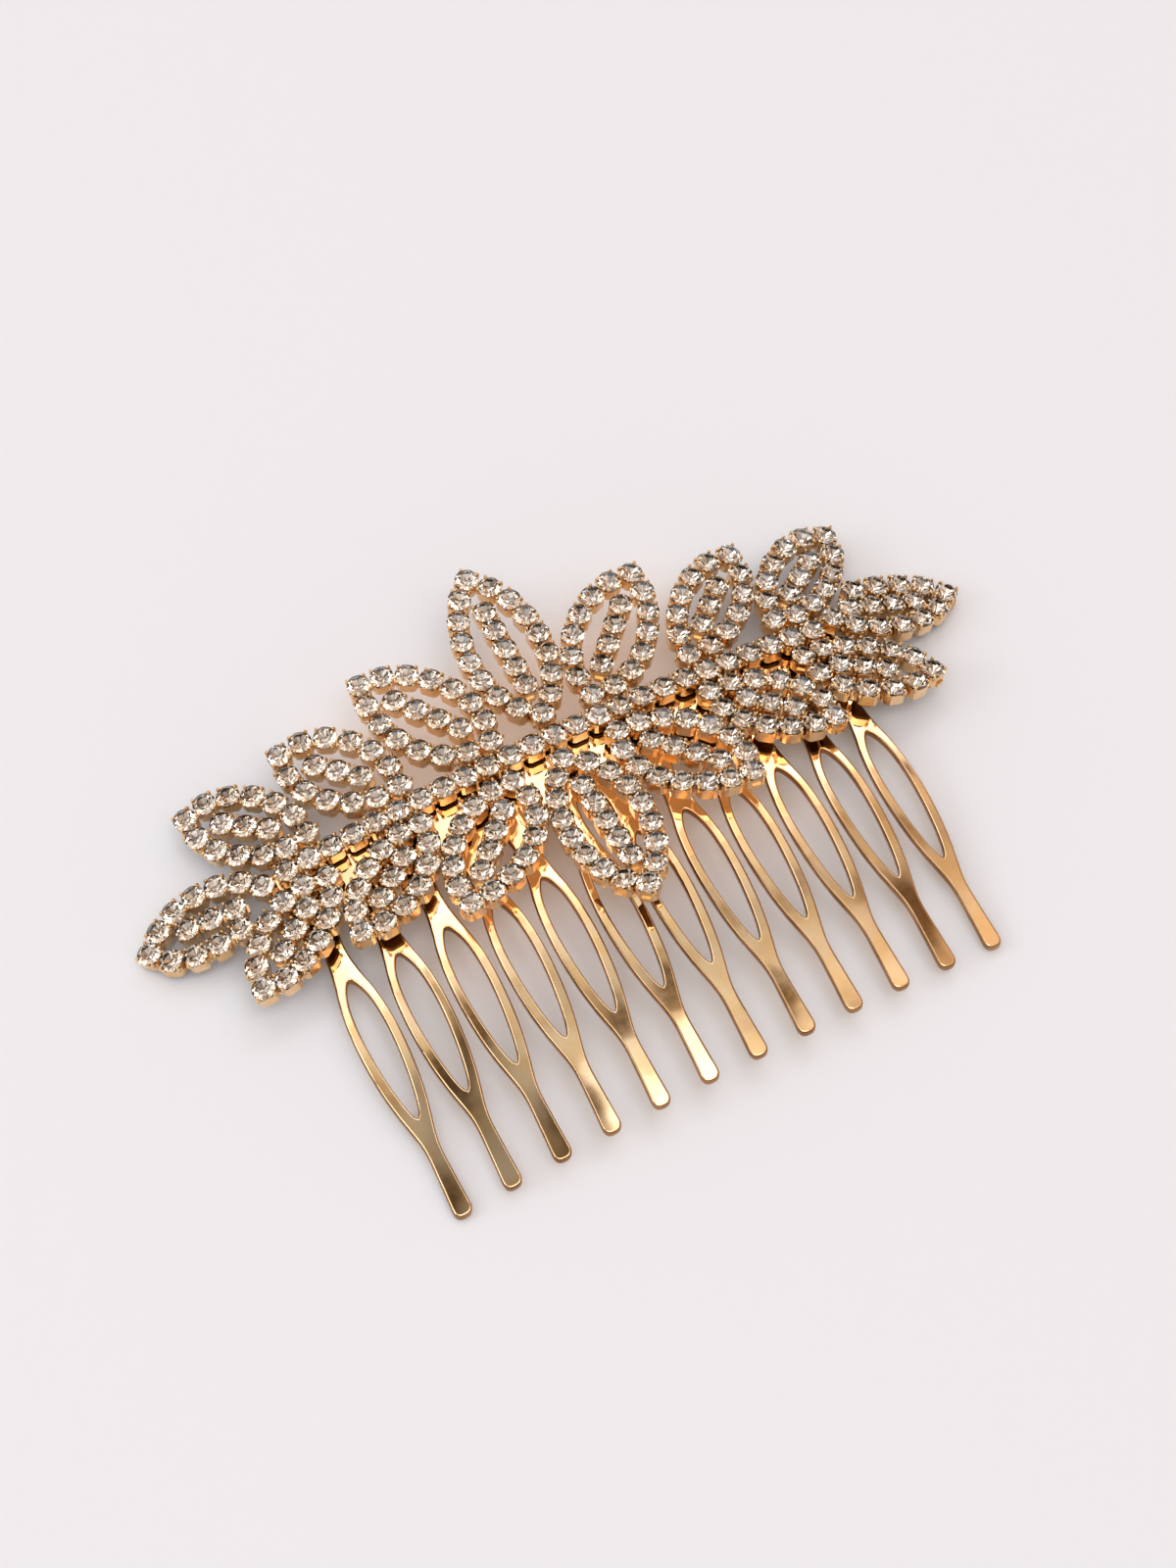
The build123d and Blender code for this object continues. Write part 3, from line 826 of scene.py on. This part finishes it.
# Each claw stands on a corner of the cup and leans in over the stone's girdle
CLAW_SIDES = 6
ClawRing = namedtuple("ClawRing", "out radius height")
CLAW_RINGS = [
    ClawRing(1.45, 0.20, -0.50),
    ClawRing(1.48, 0.22, 0.08),
    ClawRing(1.42, 0.20, 0.30),
    ClawRing(1.32, 0.13, 0.44),
]
CLAW_TIP_OUT = 1.26
CLAW_TIP_HEIGHT = 0.48
claw_vertices = []
claw_faces = []
for quarter in range(4):
    facing = Matrix.Rotation(math.radians(45 + 90 * quarter), 3, "Z")
    start = len(claw_vertices)
    for out, radius, z in CLAW_RINGS:
        for side in range(CLAW_SIDES):
            turn = 2 * math.pi * side / CLAW_SIDES
            point = Vector((out + radius * math.cos(turn), radius * math.sin(turn), z))
            claw_vertices.append(facing @ point)
    claw_vertices.append(facing @ Vector((CLAW_TIP_OUT, 0, CLAW_TIP_HEIGHT)))
    tip = len(claw_vertices) - 1
    last_ring = tip - CLAW_SIDES
    for base in range(start, last_ring, CLAW_SIDES):
        for side in range(CLAW_SIDES):
            after = (side + 1) % CLAW_SIDES
            claw_faces.append(
                (base + side, base + after, base + CLAW_SIDES + after, base + CLAW_SIDES + side)
            )
    for side in range(CLAW_SIDES):
        claw_faces.append((last_ring + side, last_ring + (side + 1) % CLAW_SIDES, tip))
    claw_faces.append(tuple(start + side for side in reversed(range(CLAW_SIDES))))
claws = hidden_pattern("claws", claw_vertices, claw_faces)

cup_gold = plated_gold(
    "cup_plating", (0.93, 0.68, 0.41, 1), (0.86, 0.54, 0.25, 1), 2 * MM, 0.01 * MM, 0.24
)
# Dark gold for the cups' insides and undersides: a painted shade in the hollows and under the cups
painted_shade_gold = plated_gold(
    "cup_inside_plating", (0.20, 0.10, 0.04, 1), (0.10, 0.05, 0.02, 1), 2 * MM, 0.01 * MM, 0.35
)
spine_seats = seats_along(
    even_places(SPINE_START, SPINE_END, SPINE_BOW, SPINE_BOW, SPINE_STONES - 1)
)
all_seats = {"spine_setting": spine_seats}
for leaf in LEAVES:
    edge_seats, vein_seats = leaf_seats(leaf)
    all_seats[leaf.name] = edge_seats + vein_seats
CUP_LEAN = 0.02
CUP_TURN = 0.02
CLAW_LEAN = 0.03
CLAW_TURN = 0.05
for number, (node, seats) in enumerate(all_seats.items()):
    cups_name = node.replace("_setting", "") + "_cups"
    cup_row = set_row(
        cups_name + "_walls", seats, cup, 1.0, CUP_LEAN, CUP_TURN, number, cup_gold, painted_shade_gold
    )
    claw_row = set_row(
        cups_name + "_claws", seats, claws, 1.0, CLAW_LEAN, CLAW_TURN, number, cup_gold, cup_gold
    )
    claw_row.data.shade_smooth()
    setting = joined_as(cups_name, [cup_row, claw_row])
    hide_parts(node)
    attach(setting, "root")

# The stones. Round cut glass, one in every cup, held by its claws: a flat table with eight
# facets round it, and eight more down to the point behind, which are silvered so that the light
# comes back out. Each back facet is painted its own brightness, a painted light and shade for
# the bright and dark reflections in the facets, and no two stones sit quite alike.
GIRDLE_RADIUS = 1.38
GIRDLE_HEIGHT = 0.12
TABLE_RADIUS = 0.78
TABLE_HEIGHT = 0.62
BAND_RADIUS = 1.32
BAND_HEIGHT = -0.10
POINT_HEIGHT = -1.08
# Brightness of each silvered back facet: painted light and shade for the bright and dark reflections in the
# facets
BACK_PAINTED_SHADES = (1.0, 0.6, 1.0, 0.3, 1.0, 0.8, 0.45, 0.95)


FACETS = 8
HALF_FACET = 180 / FACETS
STONE_LEAN = 0.07
STONE_TURN = math.pi
FIRST_STONE_SEED = 7


def round_points(radius, z, start):
    """A point for each facet round a circle, from a starting angle in degrees."""
    points = []
    for index in range(FACETS):
        turn = math.radians(start + 2 * HALF_FACET * index)
        points.append((radius * math.cos(turn), radius * math.sin(turn), z))
    return points


# The girdle dips at the middle of each crown facet, which keeps every facet flat. Below it is
# a narrow band painted dark, a painted shade for the gap between the stone and the rim of its cup.
facet_depth = math.cos(math.radians(HALF_FACET))
crown_fall = (TABLE_HEIGHT - GIRDLE_HEIGHT) / ((GIRDLE_RADIUS - TABLE_RADIUS) * facet_depth)
girdle_dip = GIRDLE_HEIGHT - crown_fall * GIRDLE_RADIUS * (1 - facet_depth)
stone_vertices = round_points(TABLE_RADIUS, TABLE_HEIGHT, HALF_FACET)
stone_vertices += round_points(GIRDLE_RADIUS, GIRDLE_HEIGHT, HALF_FACET)
stone_vertices += round_points(GIRDLE_RADIUS, girdle_dip, 0)
stone_vertices += round_points(BAND_RADIUS, BAND_HEIGHT, HALF_FACET)
stone_vertices += round_points(BAND_RADIUS, BAND_HEIGHT, 0)
stone_vertices += [(0, 0, POINT_HEIGHT)]
# Where each ring of points starts
girdle, dips, band, band_dips, point = (FACETS * level for level in range(1, 6))
stone_faces = [tuple(range(FACETS))]
stone_painted_shades = [1.0]
for index in range(FACETS):
    before = (index - 1) % FACETS
    stone_faces.append((before, girdle + before, dips + index, girdle + index, index))
    stone_painted_shades.append(1.0)
first_back = len(stone_faces)
# The band round the girdle takes tone 0, its dark painted shade
for index in range(FACETS):
    after = (index + 1) % FACETS
    stone_faces.append((band_dips + index, band + index, girdle + index, dips + index))
    stone_faces.append((band + index, band_dips + after, dips + after, girdle + index))
    stone_painted_shades += [0.0, 0.0]
for index in range(FACETS):
    after = (index + 1) % FACETS
    stone_faces.append((point, band_dips + after, band + index, band_dips + index))
    stone_painted_shades.append(BACK_PAINTED_SHADES[index])
stone_backs = list(range(first_back, len(stone_faces)))
cut_stone = hidden_pattern("cut_stone", stone_vertices, stone_faces, stone_backs)
facet_tone = cut_stone.data.attributes.new("facet_tone", "FLOAT", "FACE")
for index, tone in enumerate(stone_painted_shades):
    facet_tone.data[index].value = tone

clear_glass = bpy.data.materials.new("clear_cut_glass")
clear_glass.use_nodes = True
glass_nodes = clear_glass.node_tree.nodes
glass_links = clear_glass.node_tree.links
glass_shader = glass_nodes["Principled BSDF"]
glass_shader.inputs["Transmission Weight"].default_value = 1.0
glass_shader.inputs["IOR"].default_value = 1.55
glass_tone = glass_nodes.new("ShaderNodeAttribute")
glass_tone.attribute_name = "tone"
glass_ramp = glass_nodes.new("ShaderNodeValToRGB")
glass_ramp.color_ramp.elements[0].color = (1.0, 0.955, 0.90, 1)
glass_ramp.color_ramp.elements[1].color = (0.99, 0.88, 0.76, 1)
glass_wear = glass_nodes.new("ShaderNodeTexNoise")
glass_wear.inputs["Scale"].default_value = 900.0
glass_gloss = glass_nodes.new("ShaderNodeMapRange")
glass_gloss.inputs["From Min"].default_value = 0.4
glass_gloss.inputs["To Min"].default_value = 0.0
glass_gloss.inputs["To Max"].default_value = 0.05
glass_place = glass_nodes.new("ShaderNodeTexCoord")
glass_links.new(glass_place.outputs["Object"], glass_wear.inputs["Vector"])
glass_links.new(glass_wear.outputs["Fac"], glass_gloss.inputs["Value"])
glass_links.new(glass_gloss.outputs["Result"], glass_shader.inputs["Roughness"])
glass_links.new(glass_tone.outputs["Fac"], glass_ramp.inputs["Fac"])
glass_links.new(glass_ramp.outputs["Color"], glass_shader.inputs["Base Color"])

silvered = bpy.data.materials.new("silvered_back")
silvered.use_nodes = True
silver_nodes = silvered.node_tree.nodes
silver_links = silvered.node_tree.links
silver_shader = silver_nodes["Principled BSDF"]
silver_shader.inputs["Metallic"].default_value = 1.0
silver_shader.inputs["Roughness"].default_value = 0.06
silver_painted_shade = silver_nodes.new("ShaderNodeAttribute")
silver_painted_shade.attribute_name = "facet_tone"
# The ramp turns each facet's painted shade into the silver's colour: near black for the band, the rest for
# the back facets
silver_ramp = silver_nodes.new("ShaderNodeValToRGB")
silver_ramp.color_ramp.elements[0].color = (0.03, 0.025, 0.02, 1)
silver_half_shade = silver_ramp.color_ramp.elements.new(0.2)
silver_half_shade.color = (0.42, 0.38, 0.34, 1)
silver_ramp.color_ramp.elements[2].color = (0.97, 0.95, 0.92, 1)
silver_links.new(silver_painted_shade.outputs["Fac"], silver_ramp.inputs["Fac"])
silver_links.new(silver_ramp.outputs["Color"], silver_shader.inputs["Base Color"])

halves = {"left_stones": [], "right_stones": []}
for seats in all_seats.values():
    for seat in seats:
        halves["left_stones" if seat.place.x < 0 else "right_stones"].append(seat)
for number, (node, seats) in enumerate(halves.items()):
    seed = FIRST_STONE_SEED + number
    stones = set_row(
        node + "_cut", seats, cut_stone, 1.0, STONE_LEAN, STONE_TURN, seed, clear_glass, silvered
    )
    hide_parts(node)
    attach(stones, "root")

for pattern in (cup, claws, cut_stone):
    spent = pattern.data
    bpy.data.objects.remove(pattern)
    bpy.data.meshes.remove(spent)
